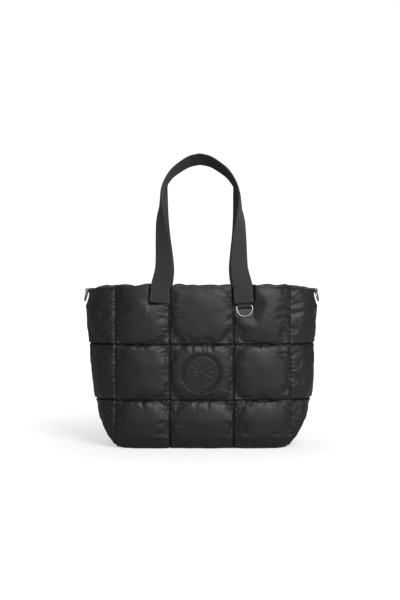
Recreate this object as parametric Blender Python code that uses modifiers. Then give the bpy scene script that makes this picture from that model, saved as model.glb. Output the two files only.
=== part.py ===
# Puffer tote bag, standing open on its base with both handles up.
# Metres, +Z up. The front faces -Y, and the origin is the middle of the base's underside.

import math

import bmesh
import bpy
from mathutils import Matrix, Vector

# Body of the bag
BODY_HEIGHT = 0.323
BODY_HALF_WIDTH = 0.234
BODY_HALF_DEPTH = 0.080
CORNER_DEPTH_SHARE = 0.90
BLUNT_END = 0.012
RIM_ROLL = 0.008
RIM_BULGE = 0.003
END_DIP = 0.009
FRONT_DIP_START = 2.0
BACK_DIP_START = 2.4

# Padding
PUFF_OUT = 0.013
PUFF_IN = 0.007
SEAM_WALL = 0.004
BASE_WALL = 0.008
BASE_FILL = 0.10
DENT_SLOPE = 0.6
DENT_MARGIN = 0.0035
TAB_MARGIN = 0.0015

# Quilt seams, as shares of the half width and of the height
CENTRE_SEAM = 0.267
CORNER_SEAM = 0.731
LOWER_SEAM = 0.2965
UPPER_SEAM = 0.637

# How far the stitched wall bows out between its seams, as shares of each column's width
BOWS = (0.0, 0.03, 0.08, 0.0)

# Handles
STRAP_WIDTH = 0.038
STRAP_THICKNESS = 0.003
TAB_HEIGHT = 0.036
TAB_SLANT = math.radians(4.7)
TURNED_END = 0.024
TAB_SEAT = 0.004
HANDLE_RISE = 0.2535
HANDLE_LEAN = 0.068
FRONT_SWAY = -0.004
BACK_SWAY = -0.003

# Round patch
PATCH_RADIUS = 0.0375
PATCH_THICKNESS = 0.003
PATCH_SEAT = 0.010
PATCH_RIM_WIDTH = 0.0035
PATCH_GROOVE = 0.0010

# D-rings and their loops
RING_HALF_WIDTH = 0.01535
RING_DROP = 0.0204
RING_CORNER = 0.0025
WIRE_RADIUS = 0.0014
LOOP_THICKNESS = 0.0012
FRONT_LOOP_WIDTH = 0.025
SIDE_LOOP_WIDTH = 0.020
LOOP_TAIL = 0.018
BAR_BELOW_TAB = 0.0055
FRONT_RING_LEAN = math.radians(14.0)
SIDE_RING_LEAN = math.radians(13.0)
SIDE_BAR_BELOW_RIM = 0.0035
LOOP_STAND_OFF = 0.001
LOOP_BEND = 0.0015
LOOP_RISE = 0.004
LOOP_TUCK = 0.003

# Running gap between neighbours
GAP = 0.0003

# Height, half width, half depth and blunt end as shares of BODY_HEIGHT, BODY_HALF_WIDTH, BODY_HALF_DEPTH
# and BLUNT_END
SECTIONS = (
    (0.000, 0.735, 0.780, 0.35),
    (0.025, 0.752, 0.820, 0.35),
    (0.073, 0.793, 0.880, 0.35),
    (0.180, 0.868, 0.930, 0.35),
    (0.297, 0.919, 0.950, 0.35),
    (0.489, 0.949, 0.975, 0.35),
    (0.637, 0.974, 1.000, 0.35),
    (0.868, 1.000, 0.985, 0.60),
    (0.946, 0.975, 0.985, 0.90),
    (1.000, 0.950, 0.985, 1.00),
)

# Handles from the tabs to the middle of the arch. The rise and the lean are shares of HANDLE_RISE and
# HANDLE_LEAN, and the spread is a share of the tabs' place. The turn of the strap's width away from X and
# its fall towards the middle are in degrees.
FRONT_HANDLE = (
    (0.000, 1.000, 0.000, 6.0, 0.0),
    (0.117, 0.930, 0.050, 24.0, 4.0),
    (0.223, 0.922, 0.130, 32.0, 8.0),
    (0.383, 0.958, 0.280, 48.0, 12.0),
    (0.523, 0.994, 0.430, 65.0, 15.0),
    (0.621, 0.988, 0.540, 80.0, 18.0),
    (0.700, 0.965, 0.625, 90.0, 20.0),
    (0.789, 0.880, 0.730, 90.0, 22.0),
    (0.875, 0.710, 0.840, 90.0, 24.0),
    (0.9375, 0.480, 0.930, 90.0, 26.0),
    (0.982, 0.245, 0.985, 90.0, 27.0),
    (1.000, 0.000, 1.000, 90.0, 27.0),
)
BACK_HANDLE = (
    (0.000, 1.000, 0.000, 6.0, 0.0),
    (0.117, 0.945, 0.050, 22.0, 4.0),
    (0.223, 0.955, 0.130, 30.0, 8.0),
    (0.383, 0.972, 0.280, 48.0, 12.0),
    (0.523, 0.975, 0.430, 58.0, 15.0),
    (0.621, 0.962, 0.540, 64.0, 18.0),
    (0.700, 0.950, 0.625, 68.0, 20.0),
    (0.789, 0.920, 0.730, 74.0, 22.0),
    (0.875, 0.760, 0.840, 86.0, 24.0),
    (0.9375, 0.520, 0.930, 90.0, 26.0),
    (0.982, 0.265, 0.985, 90.0, 27.0),
    (1.000, 0.000, 1.000, 90.0, 27.0),
)

# Points of a panel's grid: columns between the middle and the first seam, shares of the way from the tab
# to the second seam, columns round the corner, and rows inside a cell and up to the front ring
MIDDLE_COLUMNS = (0.0, 0.33, 0.67, 1.0)
TAB_TO_SEAM = (0.28, 0.54, 0.78, 1.0)
CORNER_COLUMNS = (2.2, 2.4, 2.6, 2.8, 3.0, 4.0)
CELL_ROWS = (0.0, 0.15, 0.32, 0.5, 0.68, 0.85)
TOP_CELL_ROWS = (2.0, 2.16, 2.34)
RIM_ROWS = (3.0, 3.33, 3.67, 4.0)

# Smaller steps: along the wall when its direction is read, of a handle's curve between two rows of its
# table, and how sharp an edge has to be to show as one
WALL_STEP = 0.01
CURVE_STEPS = 3
TURNED_LAYER = (1.0, 0.66, 0.33)
TAB_LAYER = (0.35, 0.7)
FOLD_TURNS = (0, 36, 72, 108, 144, 180)
QUILT_EDGE = math.radians(50.0)
STRAP_EDGE = math.radians(35.0)

# Sides of the bag, as the sign of y
FRONT, BACK = -1, 1


def along(rows, at, column):
    # A column of a table, read between two of its rows.
    for low, high in zip(rows, rows[1:]):
        if at <= high[0]:
            share = max(0.0, (at - low[0]) / (high[0] - low[0]))
            return low[column] + share * (high[column] - low[column])
    return rows[-1][column]


def half_width(z):
    return BODY_HALF_WIDTH * along(SECTIONS, z / BODY_HEIGHT, 1)


def half_depth(z):
    return BODY_HALF_DEPTH * along(SECTIONS, z / BODY_HEIGHT, 2)


def blunt_end(z):
    return BLUNT_END * along(SECTIONS, z / BODY_HEIGHT, 3)


def plan(column, z):
    # The stitched wall from above, as x and the distance from the middle plane. A column is 0 in the
    # middle, 1 and 2 on the quilt seams, 3 at the edge of the blunt end and 4 on the side seam.
    stops = (
        (0.0, half_depth(z)),
        (CENTRE_SEAM * BODY_HALF_WIDTH, half_depth(z)),
        (CORNER_SEAM * BODY_HALF_WIDTH, CORNER_DEPTH_SHARE * half_depth(z)),
        (half_width(z), blunt_end(z)),
        (half_width(z), 0.5 * GAP),
    )
    first = min(int(abs(column)), len(stops) - 2)
    share = abs(column) - first
    start, end = Vector(stops[first]), Vector(stops[first + 1])
    point = start.lerp(end, share)
    chord = end - start
    point += BOWS[first] * 4.0 * share * (1.0 - share) * Vector((-chord.y, chord.x))
    point.x = math.copysign(point.x, column)
    return point


def outward(column, z):
    # Direction away from the bag, halfway between the two stretches of wall that meet at a column.
    here = plan(column, z)
    before = here - plan(max(column - WALL_STEP, -4.0), z)
    after = plan(min(column + WALL_STEP, 4.0), z) - here
    tangent = before.normalized() + after.normalized()
    return Vector((-tangent.y, tangent.x)).normalized()


def bulge(share):
    # Height of a puff across a cell, 0 on its seams and 1 in its middle.
    return math.sqrt(max(0.0, 4.0 * share * (1.0 - share)))


def cell_share(column):
    # Place across a quilt cell. The middle cell spans both sides, and the blunt end has no puff.
    place = abs(column)
    if place <= 1.0:
        return 0.5 * (column + 1.0)
    return place - int(place) if place < 3.0 else 0.0


ROW_HEIGHTS = (
    0.0,
    LOWER_SEAM * BODY_HEIGHT,
    UPPER_SEAM * BODY_HEIGHT,
    BODY_HEIGHT - RIM_ROLL,
    BODY_HEIGHT,
)


def height(column, row, dip_start):
    # Height of a row of the quilt: 0 on the base, 1 and 2 on the seams, 3 on the rim's stitch line and
    # 4 on top of the rim. The rim dips towards the side seams.
    first = min(int(row), len(ROW_HEIGHTS) - 2)
    z = ROW_HEIGHTS[first] + (row - first) * (ROW_HEIGHTS[first + 1] - ROW_HEIGHTS[first])
    dip = END_DIP * min(1.0, max(0.0, (abs(column) - dip_start) / (3.0 - dip_start)))
    return z - dip * max(0.0, (z - ROW_HEIGHTS[2]) / (BODY_HEIGHT - ROW_HEIGHTS[2]))


def row_at(z):
    # The row of the quilt at a height of the top cells.
    return 2.0 + (z - ROW_HEIGHTS[2]) / (ROW_HEIGHTS[3] - ROW_HEIGHTS[2])


def column_at(x):
    # The column at a distance from the middle, in the cells beside the middle one.
    seam = CENTRE_SEAM * BODY_HALF_WIDTH
    return 1.0 + (x - seam) / (CORNER_SEAM * BODY_HALF_WIDTH - seam)


# The tabs, where the handles' ends are sewn to a panel
TAB_TOP = BODY_HEIGHT
TAB_LOW = BODY_HEIGHT - TAB_HEIGHT
TAB_MIDDLE = 0.5 * (TAB_TOP + TAB_LOW)
TAB_X = CENTRE_SEAM * BODY_HALF_WIDTH + 0.5 * STRAP_WIDTH
TAB_DEPTH = half_depth(TAB_MIDDLE)
TAB_UP = Vector((-math.sin(TAB_SLANT), 0.0, math.cos(TAB_SLANT)))
TAB_ACROSS = Vector((math.cos(TAB_SLANT), 0.0, math.sin(TAB_SLANT)))
UNDER_LAYER = TAB_SEAT + 0.5 * STRAP_THICKNESS
TOP_LAYER = UNDER_LAYER + STRAP_THICKNESS + GAP

# The front loop's two layers lie between the tab and the panel, and its bar hangs just below the tab
LOOP_RADIUS = WIRE_RADIUS + GAP + 0.5 * LOOP_THICKNESS
LOOP_TOP_LAYER = TAB_SEAT - GAP - 0.5 * LOOP_THICKNESS
LOOP_UNDER_LAYER = LOOP_TOP_LAYER - GAP - LOOP_THICKNESS
LOOP_SEAT = LOOP_UNDER_LAYER - 0.5 * LOOP_THICKNESS - GAP
FRONT_BAR_OUT = LOOP_UNDER_LAYER + LOOP_RADIUS
FRONT_BAR_Z = TAB_LOW - BAR_BELOW_TAB


def tab_point(up, out, side):
    # A point on the right tab's centre line, up from its middle and out from the stitched wall.
    point = Vector((TAB_X, 0.0, TAB_MIDDLE)) + up * TAB_UP
    point.y = side * (TAB_DEPTH + out)
    return point


def up_at(z):
    return (z - TAB_MIDDLE) / math.cos(TAB_SLANT)


# Dents: x, half width, low and high z, and the depth that the fabric is pressed to at those heights
TAB_REACH = 0.5 * STRAP_WIDTH + TAB_MARGIN
RING_LOW = FRONT_BAR_Z - (RING_DROP + 2.0 * WIRE_RADIUS) * math.cos(FRONT_RING_LEAN)
LOOP_LOW = FRONT_BAR_Z - LOOP_RADIUS - LOOP_THICKNESS


def tab_dent(x, seat):
    depth = TAB_DEPTH + seat - GAP
    return (x, TAB_REACH + DENT_MARGIN, TAB_LOW - GAP, BODY_HEIGHT, depth, depth)


def loop_dent():
    # The fabric behind the front loop, down to the underside of its turn round the bar.
    x = tab_point(up_at(LOOP_LOW), 0.0, FRONT).x
    depth = TAB_DEPTH + LOOP_SEAT
    return (x, 0.5 * FRONT_LOOP_WIDTH + DENT_MARGIN, LOOP_LOW, TAB_LOW, depth, depth)


def ring_dent():
    # The puff under the front ring is pressed just clear of it.
    clear = TAB_DEPTH + FRONT_BAR_OUT - (WIRE_RADIUS + GAP) / math.cos(FRONT_RING_LEAN)
    lean = math.tan(FRONT_RING_LEAN)
    x = tab_point(up_at(0.5 * (RING_LOW + FRONT_BAR_Z)), 0.0, FRONT).x
    reach = RING_HALF_WIDTH + WIRE_RADIUS + DENT_MARGIN
    low_depth = clear + lean * (FRONT_BAR_Z - RING_LOW)
    return (x, reach, RING_LOW, LOOP_LOW, low_depth, clear + lean * (FRONT_BAR_Z - LOOP_LOW))


PATCH_Z = 0.5 * (ROW_HEIGHTS[1] + ROW_HEIGHTS[2])


def patch_dent():
    low, high = PATCH_Z - PATCH_RADIUS, PATCH_Z + PATCH_RADIUS
    return (0.0, PATCH_RADIUS, low, high, half_depth(low) + PATCH_SEAT, half_depth(high) + PATCH_SEAT)


def pressed(depth, x, z, dents):
    # Depth of the fabric after each dent has pressed it in.
    for place, reach, low, high, low_depth, high_depth in dents:
        away = math.hypot(max(abs(x - place) - reach, 0.0), max(z - high, low - z, 0.0))
        share = min(1.0, max(0.0, (z - low) / (high - low)))
        depth = min(depth, low_depth + share * (high_depth - low_depth) + DENT_SLOPE * away)
    return depth


def wall_point(column, row, layer, side, dip_start, dents):
    # A point of a quilted panel: layer 0 is its outer face and layer 1 its inner face.
    z = height(column, row, dip_start)
    here = plan(column, z)
    away = outward(column, z)
    rows_up = row - int(row) if row < 4.0 else 0.0
    if row >= 3.0:
        out = RIM_BULGE * bulge(rows_up)
        inner = out
    else:
        padding = bulge(cell_share(column))
        filled = BASE_FILL + (1.0 - BASE_FILL) * rows_up if row < 1.0 else rows_up
        out = PUFF_OUT * padding * bulge(filled)
        clear = 2.0 * BASE_WALL / ROW_HEIGHTS[1] if row < 1.0 else 0.0
        inner = PUFF_IN * padding * bulge(max(0.0, (rows_up - clear) / (1.0 - clear)))
    if layer:
        here -= (SEAM_WALL + inner) * away
        if abs(column) == 4.0:
            here.y = 0.5 * GAP
    else:
        here += out * away
        here.y = pressed(here.y, here.x, z, dents)
    return Vector((here.x, side * here.y, z))


def grid_mesh(columns, rows):
    # A flat grid whose points carry their column and row as x and y.
    mesh = bmesh.new()
    bmesh.ops.create_grid(mesh, x_segments=len(columns) - 1, y_segments=len(rows) - 1, size=0.5)
    for point in mesh.verts:
        i = round((point.co.x + 0.5) * (len(columns) - 1))
        j = round((point.co.y + 0.5) * (len(rows) - 1))
        point.co = (columns[i], rows[j], 0.0)
    return mesh


def add_object(name, data, material):
    thing = bpy.data.objects.new(name, data)
    thing.data.materials.append(material)
    bag.objects.link(thing)
    return thing


def finish_mesh(shape, name, smooth_angle):
    bmesh.ops.recalc_face_normals(shape, faces=shape.faces)
    if shape.calc_volume(signed=True) < 0.0:
        bmesh.ops.reverse_faces(shape, faces=shape.faces)
    mesh = bpy.data.meshes.new(name)
    shape.to_mesh(mesh)
    shape.free()
    mesh.shade_smooth()
    mesh.set_sharp_from_angle(angle=smooth_angle)
    return mesh


def panel_columns():
    # Columns of a panel's grid, with points on the tabs' middle and outer edge.
    last = column_at(TAB_X + TAB_REACH)
    half = [*MIDDLE_COLUMNS, column_at(TAB_X), last]
    half += [last + share * (2.0 - last) for share in TAB_TO_SEAM]
    half += CORNER_COLUMNS
    return [-place for place in reversed(half[1:])] + half


def panel_rows():
    # Rows of a panel's grid, with points on the tabs' lower edge and the front ring's lower end.
    rows = [*CELL_ROWS, *(1.0 + place for place in CELL_ROWS), *TOP_CELL_ROWS]
    rows += [row_at(RING_LOW), row_at(0.5 * (RING_LOW + LOOP_LOW)), row_at(LOOP_LOW), row_at(TAB_LOW)]
    rows += [0.5 * (row_at(TAB_LOW) + 3.0), *RIM_ROWS]
    return rows


def add_panel(name, side, dip_start, dents, material):
    # Two faces of quilted fabric, sewn together along the seams and joined round the edge.
    shape = grid_mesh(panel_columns(), panel_rows())
    grown = bmesh.ops.extrude_face_region(shape, geom=shape.faces[:])
    for item in grown["geom"]:
        if isinstance(item, bmesh.types.BMVert):
            item.co.z = 1.0
    for point in shape.verts:
        column, row, layer = point.co
        column = round(column, 5)
        point.co = wall_point(column, round(row, 5), layer > 0.5, side, dip_start, dents)
    return add_object(name, finish_mesh(shape, name, QUILT_EDGE), material)


def add_base(name, material):
    # A flat plate that fits inside the panels' lower edge.
    outline = []
    for column in panel_columns()[1:-1]:
        here = plan(column, 0.0) - (SEAM_WALL + GAP) * outward(column, 0.0)
        outline.append(Vector((here.x, -here.y, 0.0)))
    outline += [Vector((point.x, -point.y, 0.0)) for point in reversed(outline)]
    curve = bpy.data.curves.new(name, "CURVE")
    curve.dimensions = "2D"
    curve.fill_mode = "BOTH"
    curve.extrude = 0.5 * BASE_WALL
    line = curve.splines.new("POLY")
    line.points.add(len(outline) - 1)
    for point, place in zip(line.points, outline):
        point.co = (*place, 1.0)
    line.use_cyclic_u = True
    plate = add_object(name, curve, material)
    plate.location.z = 0.5 * BASE_WALL
    return plate


def add_ribbon(name, stations, width, thickness, material):
    # Flat webbing: a strip that is laid along its stations, each a point and a width direction, then
    # given its thickness.
    shape = grid_mesh((-0.5, 0.0, 0.5), range(len(stations)))
    for point in shape.verts:
        centre, across = stations[round(point.co.y)]
        point.co = centre + point.co.x * width * across
    strip = add_object(name, finish_mesh(shape, name, STRAP_EDGE), material)
    wall = strip.modifiers.new("webbing", "SOLIDIFY")
    wall.thickness = thickness
    wall.offset = 0.0
    wall.use_even_offset = True
    return strip


def between(before, start, end, after, share):
    # A value on the smooth curve from start to end, which also takes in the values before and after.
    slope = end - before
    bend = 2.0 * before - 5.0 * start + 4.0 * end - after
    twist = 3.0 * start - before - 3.0 * end + after
    return start + 0.5 * (slope * share + bend * share**2 + twist * share**3)


def smooth_rows(rows):
    # Rows of a table read off one smooth curve through them.
    padded = (rows[0], *rows, rows[-1])
    smooth = []
    for four in zip(padded, padded[1:], padded[2:], padded[3:]):
        for step in range(CURVE_STEPS):
            smooth.append([between(*values, step / CURVE_STEPS) for values in zip(*four)])
    return smooth + [list(rows[-1])]


def right_half(table, side):
    # The right half of a handle, from its turned-under end through the tab to the middle of the arch.
    fold_out = 0.5 * (UNDER_LAYER + TOP_LAYER)
    fold_radius = 0.5 * (TOP_LAYER - UNDER_LAYER)
    fold_up = up_at(TAB_LOW) + fold_radius + 0.5 * STRAP_THICKNESS
    points = [tab_point(fold_up + share * TURNED_END, UNDER_LAYER, side) for share in TURNED_LAYER]
    for turn in FOLD_TURNS:
        angle = math.radians(turn)
        up = fold_up - fold_radius * math.sin(angle)
        points.append(tab_point(up, fold_out - fold_radius * math.cos(angle), side))
    for share in TAB_LAYER:
        up = fold_up + share * (up_at(TAB_TOP) - fold_up)
        points.append(tab_point(up, TOP_LAYER, side))
    stations = [(point, TAB_ACROSS) for point in points]
    start = tab_point(up_at(TAB_TOP), TOP_LAYER, side)
    route = smooth_rows(table)
    centres = []
    for rise, spread, lean, _, _ in route:
        y = start.y - side * lean * HANDLE_LEAN
        centres.append(Vector((spread * start.x, y, start.z + rise * HANDLE_RISE)))
    for i, (_, _, _, turn, fall) in enumerate(route):
        turn, fall = math.radians(turn), math.radians(fall)
        tangent = Vector((-1.0, 0.0, 0.0))
        if i < len(centres) - 1:
            tangent = (centres[i + 1] - centres[max(i - 1, 0)]).normalized()
        inwards = Vector((0.0, -side * math.cos(fall), -math.sin(fall)))
        guide = math.cos(turn) * Vector((1.0, 0.0, 0.0)) + math.sin(turn) * inwards
        stations.append((centres[i], (guide - guide.dot(tangent) * tangent).normalized()))
    return stations


def handle_stations(table, side, sway):
    # Both halves of a handle, leaning to one side by its sway at the top of the arch.
    right = right_half(table, side)
    flip = Matrix.Diagonal((-1.0, 1.0, 1.0))
    left = [(flip @ centre, flip @ across) for centre, across in right[:-1]]
    stations = left + right[::-1]
    for centre, _ in stations:
        share = max(0.0, (centre.z - TAB_TOP) / HANDLE_RISE)
        centre.x += sway * share**2 * (3.0 - 2.0 * share)
    return stations


def arc(centre, radius, start, end, steps):
    # Points of an arc in a plane, from one angle to another in degrees.
    points = []
    for step in range(steps + 1):
        angle = math.radians(start + (end - start) * step / steps)
        points.append((centre[0] + radius * math.cos(angle), centre[1] + radius * math.sin(angle)))
    return points


def front_loop_stations():
    # Out and up from the panel: down behind the tab, round the bar and back up.
    bar_up = up_at(FRONT_BAR_Z)
    tail_up = up_at(TAB_LOW) + LOOP_TAIL
    path = [(LOOP_UNDER_LAYER, tail_up), (LOOP_UNDER_LAYER, up_at(TAB_LOW))]
    path += arc((FRONT_BAR_OUT, bar_up), LOOP_RADIUS, 180, 360, 8)
    lift = FRONT_BAR_OUT + LOOP_RADIUS - LOOP_TOP_LAYER
    path += [(LOOP_TOP_LAYER + 0.5 * lift, bar_up + LOOP_RISE), (LOOP_TOP_LAYER, up_at(TAB_LOW) + LOOP_TUCK)]
    path += [(LOOP_TOP_LAYER, tail_up)]
    return [(tab_point(up, out, FRONT), TAB_ACROSS) for out, up in path]


SIDE_RIM_Z = BODY_HEIGHT - END_DIP
SIDE_BAR_Z = SIDE_RIM_Z - SIDE_BAR_BELOW_RIM
SIDE_BAR_X = half_width(SIDE_BAR_Z) + RIM_BULGE + GAP + LOOP_RADIUS + 0.5 * LOOP_THICKNESS


def side_loop_stations(hand):
    # Up inside the bag, over the rim at the side seam, round the bar and back to the rim.
    half = 0.5 * LOOP_THICKNESS
    wall = half_width(SIDE_RIM_Z) - SEAM_WALL - RIM_BULGE - GAP - half
    inside = wall - LOOP_STAND_OFF
    over = SIDE_RIM_Z + GAP + half
    top = over + LOOP_THICKNESS + GAP
    near, far = SIDE_BAR_X - LOOP_RADIUS, SIDE_BAR_X + LOOP_RADIUS
    path = [(inside, SIDE_RIM_Z - LOOP_TAIL), (inside, SIDE_RIM_Z - LOOP_BEND), (wall + LOOP_STAND_OFF, over)]
    path += [(near - LOOP_BEND, over), (near, over - LOOP_BEND)]
    path += arc((SIDE_BAR_X, SIDE_BAR_Z), LOOP_RADIUS, 180, 360, 8)
    path += [(far - 0.5 * LOOP_BEND, over - 0.3 * LOOP_BEND), (near + 0.7 * LOOP_BEND, top)]
    path += [(wall + 2.0 * LOOP_BEND, top)]
    return [(Vector((hand * x, 0.0, z)), Vector((0.0, 1.0, 0.0))) for x, z in path]


def add_ring(name, bar, turn, material):
    # A wire D: a straight bar on the joint's axis, two short legs and a half circle.
    centre = -(RING_DROP - RING_HALF_WIDTH)
    inner = RING_HALF_WIDTH - RING_CORNER
    points = arc((inner, -RING_CORNER), RING_CORNER, 90, 0, 3)
    points += arc((0.0, centre), RING_HALF_WIDTH, 0, -180, 14)
    points += arc((-inner, -RING_CORNER), RING_CORNER, 180, 90, 3)
    curve = bpy.data.curves.new(name, "CURVE")
    curve.dimensions = "3D"
    curve.bevel_depth = WIRE_RADIUS
    curve.bevel_resolution = 2
    line = curve.splines.new("POLY")
    line.points.add(len(points) - 1)
    for point, (x, z) in zip(line.points, points):
        point.co = (x, 0.0, z, 1.0)
    line.use_cyclic_u = True
    ring = add_object(name, curve, material)
    ring.location = bar
    ring.rotation_euler = turn
    return ring


def add_patch(name, material):
    # A moulded disc: raised rim, groove, low inner ring and a plain middle, turned about its own axis.
    inner = PATCH_RADIUS - PATCH_RIM_WIDTH
    floor = PATCH_THICKNESS - PATCH_GROOVE
    profile = (
        (0.0, floor),
        (0.68 * inner, floor),
        (0.71 * inner, floor + 0.5 * PATCH_GROOVE),
        (0.75 * inner, floor + 0.5 * PATCH_GROOVE),
        (0.78 * inner, floor),
        (inner, floor),
        (inner + 0.25 * PATCH_RIM_WIDTH, PATCH_THICKNESS),
        (inner + 0.75 * PATCH_RIM_WIDTH, PATCH_THICKNESS),
        (PATCH_RADIUS, floor),
        (PATCH_RADIUS, 0.0),
        (0.0, 0.0),
    )
    shape = bmesh.new()
    points = [shape.verts.new((x, 0.0, z)) for x, z in profile]
    for pair in zip(points, points[1:]):
        shape.edges.new(pair)
    mesh = bpy.data.meshes.new(name)
    shape.to_mesh(mesh)
    shape.free()
    disc = add_object(name, mesh, material)
    turning = disc.modifiers.new("turned", "SCREW")
    turning.steps = 40
    turning.render_steps = 40
    turning.use_merge_vertices = True
    turning.merge_threshold = 0.0001
    low, high = half_depth(PATCH_Z - PATCH_RADIUS), half_depth(PATCH_Z + PATCH_RADIUS)
    lean = math.atan2(high - low, 2.0 * PATCH_RADIUS)
    seat = 0.5 * (low + high) + PATCH_SEAT + GAP
    disc.location = (0.0, -seat, PATCH_Z)
    disc.rotation_euler = (0.5 * math.pi + lean, 0.0, 0.0)
    return disc


def add_material(name, colour, roughness, metallic=0.0):
    material = bpy.data.materials.new(name)
    material.use_nodes = True
    shader = material.node_tree.nodes["Principled BSDF"]
    shader.inputs["Base Color"].default_value = (*colour, 1.0)
    shader.inputs["Roughness"].default_value = roughness
    shader.inputs["Metallic"].default_value = metallic
    return material


for old in list(bpy.data.objects):
    bpy.data.objects.remove(old)
bag = bpy.data.collections.new("puffer_tote_bag")
bpy.context.scene.collection.children.link(bag)

nylon = add_material("nylon", (0.018, 0.018, 0.020), 0.45)
webbing = add_material("webbing", (0.040, 0.040, 0.042), 0.85)
moulded = add_material("moulded_patch", (0.020, 0.020, 0.021), 0.60)
steel = add_material("polished_steel", (0.75, 0.75, 0.76), 0.18, 1.0)

front_dents = (
    tab_dent(-TAB_X, TAB_SEAT),
    tab_dent(TAB_X, LOOP_SEAT),
    loop_dent(),
    ring_dent(),
    patch_dent(),
)
back_dents = (tab_dent(-TAB_X, TAB_SEAT), tab_dent(TAB_X, TAB_SEAT))
add_panel("front_panel", FRONT, FRONT_DIP_START, front_dents, nylon)
add_panel("back_panel", BACK, BACK_DIP_START, back_dents, nylon)
add_base("base_panel", nylon)

front_route = handle_stations(FRONT_HANDLE, FRONT, FRONT_SWAY)
back_route = handle_stations(BACK_HANDLE, BACK, BACK_SWAY)
add_ribbon("handle_front", front_route, STRAP_WIDTH, STRAP_THICKNESS, webbing)
add_ribbon("handle_back", back_route, STRAP_WIDTH, STRAP_THICKNESS, webbing)
add_patch("patch", moulded)

add_ribbon("ring_loop_front", front_loop_stations(), FRONT_LOOP_WIDTH, LOOP_THICKNESS, webbing)
front_bar = tab_point(up_at(FRONT_BAR_Z), FRONT_BAR_OUT, FRONT)
add_ring("ring_front", front_bar, (-FRONT_RING_LEAN, -TAB_SLANT, 0.0), steel)
for hand_name, hand in (("left", -1), ("right", 1)):
    add_ribbon("side_loop_" + hand_name, side_loop_stations(hand), SIDE_LOOP_WIDTH, LOOP_THICKNESS, webbing)
    side_bar = Vector((hand * SIDE_BAR_X, 0.0, SIDE_BAR_Z))
    add_ring("side_ring_" + hand_name, side_bar, (-SIDE_RING_LEAN, 0.0, hand * 0.5 * math.pi), steel)
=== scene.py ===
# Puffer tote bag: quilted nylon body, two webbing handles, steel D-rings on webbing loops and a moulded
# round patch. Metres, +Z up, the front towards -Y. The sections follow the bag as it is sewn together.

import math

import bmesh
import bpy
from mathutils import Matrix, Vector, noise


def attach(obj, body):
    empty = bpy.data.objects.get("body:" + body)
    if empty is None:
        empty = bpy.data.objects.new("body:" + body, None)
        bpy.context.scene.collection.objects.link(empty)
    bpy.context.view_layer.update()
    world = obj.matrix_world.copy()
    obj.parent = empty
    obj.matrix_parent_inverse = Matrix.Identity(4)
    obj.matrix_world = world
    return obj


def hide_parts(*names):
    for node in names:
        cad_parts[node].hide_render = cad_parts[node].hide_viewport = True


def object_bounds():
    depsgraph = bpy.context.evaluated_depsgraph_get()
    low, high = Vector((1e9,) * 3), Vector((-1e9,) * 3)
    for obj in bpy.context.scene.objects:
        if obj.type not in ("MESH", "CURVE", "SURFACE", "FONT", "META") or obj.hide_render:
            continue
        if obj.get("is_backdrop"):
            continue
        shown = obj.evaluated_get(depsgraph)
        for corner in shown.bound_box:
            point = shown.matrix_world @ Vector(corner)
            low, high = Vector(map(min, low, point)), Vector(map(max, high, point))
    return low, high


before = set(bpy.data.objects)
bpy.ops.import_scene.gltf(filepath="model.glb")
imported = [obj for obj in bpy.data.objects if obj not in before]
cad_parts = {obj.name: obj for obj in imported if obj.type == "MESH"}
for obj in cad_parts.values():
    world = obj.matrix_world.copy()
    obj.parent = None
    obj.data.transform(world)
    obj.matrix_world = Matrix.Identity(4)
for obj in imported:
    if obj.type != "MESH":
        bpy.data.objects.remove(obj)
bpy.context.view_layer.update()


# Quilted front and back. Each is nylon over soft wadding, sewn through in lines so that the fabric puffs
# up between them and gathers along them. The two meet in the side seams, and the rim is rolled and
# stitched down. The cloth goes up the outside, over the rim and down the inside, and a cloth simulation
# fills it.

BODY_HEIGHT = 0.323
BODY_HALF_WIDTH = 0.234
BODY_HALF_DEPTH = 0.080
CORNER_DEPTH_SHARE = 0.90
BLUNT_END = 0.012
RIM_ROLL = 0.008
RIM_HALF_THICKNESS = 0.005
END_DIP = 0.009
FRONT_DIP_START, BACK_DIP_START = 2.0, 2.4
PUFF_OUT = 0.013
PUFF_IN = 0.007
SEAM_WALL = 0.004
BASE_WALL = 0.008
CENTRE_SEAM = 0.267
CORNER_SEAM = 0.731
LOWER_SEAM = 0.2965
UPPER_SEAM = 0.637
BOWS = (0.0, 0.03, 0.08, 0.0)
GAP = 0.0003

# Height, half width, half depth and blunt end, as shares of the body's
SECTIONS = (
    (0.000, 0.735, 0.780, 0.35),
    (0.025, 0.752, 0.820, 0.35),
    (0.073, 0.793, 0.880, 0.35),
    (0.180, 0.868, 0.930, 0.35),
    (0.297, 0.919, 0.950, 0.35),
    (0.489, 0.949, 0.975, 0.35),
    (0.637, 0.974, 1.000, 0.35),
    (0.868, 1.000, 0.985, 0.60),
    (0.946, 0.975, 0.985, 0.90),
    (1.000, 0.950, 0.985, 1.00),
)
ROW_HEIGHTS = (0.0, LOWER_SEAM * BODY_HEIGHT, UPPER_SEAM * BODY_HEIGHT, BODY_HEIGHT - RIM_ROLL)
FRONT, BACK = -1, 1


def along(rows, at, column):
    for low, high in zip(rows, rows[1:]):
        if at <= high[0]:
            share = max(0.0, (at - low[0]) / (high[0] - low[0]))
            return low[column] + share * (high[column] - low[column])
    return rows[-1][column]


def half_width(z):
    return BODY_HALF_WIDTH * along(SECTIONS, z / BODY_HEIGHT, 1)


def half_depth(z):
    return BODY_HALF_DEPTH * along(SECTIONS, z / BODY_HEIGHT, 2)


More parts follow.
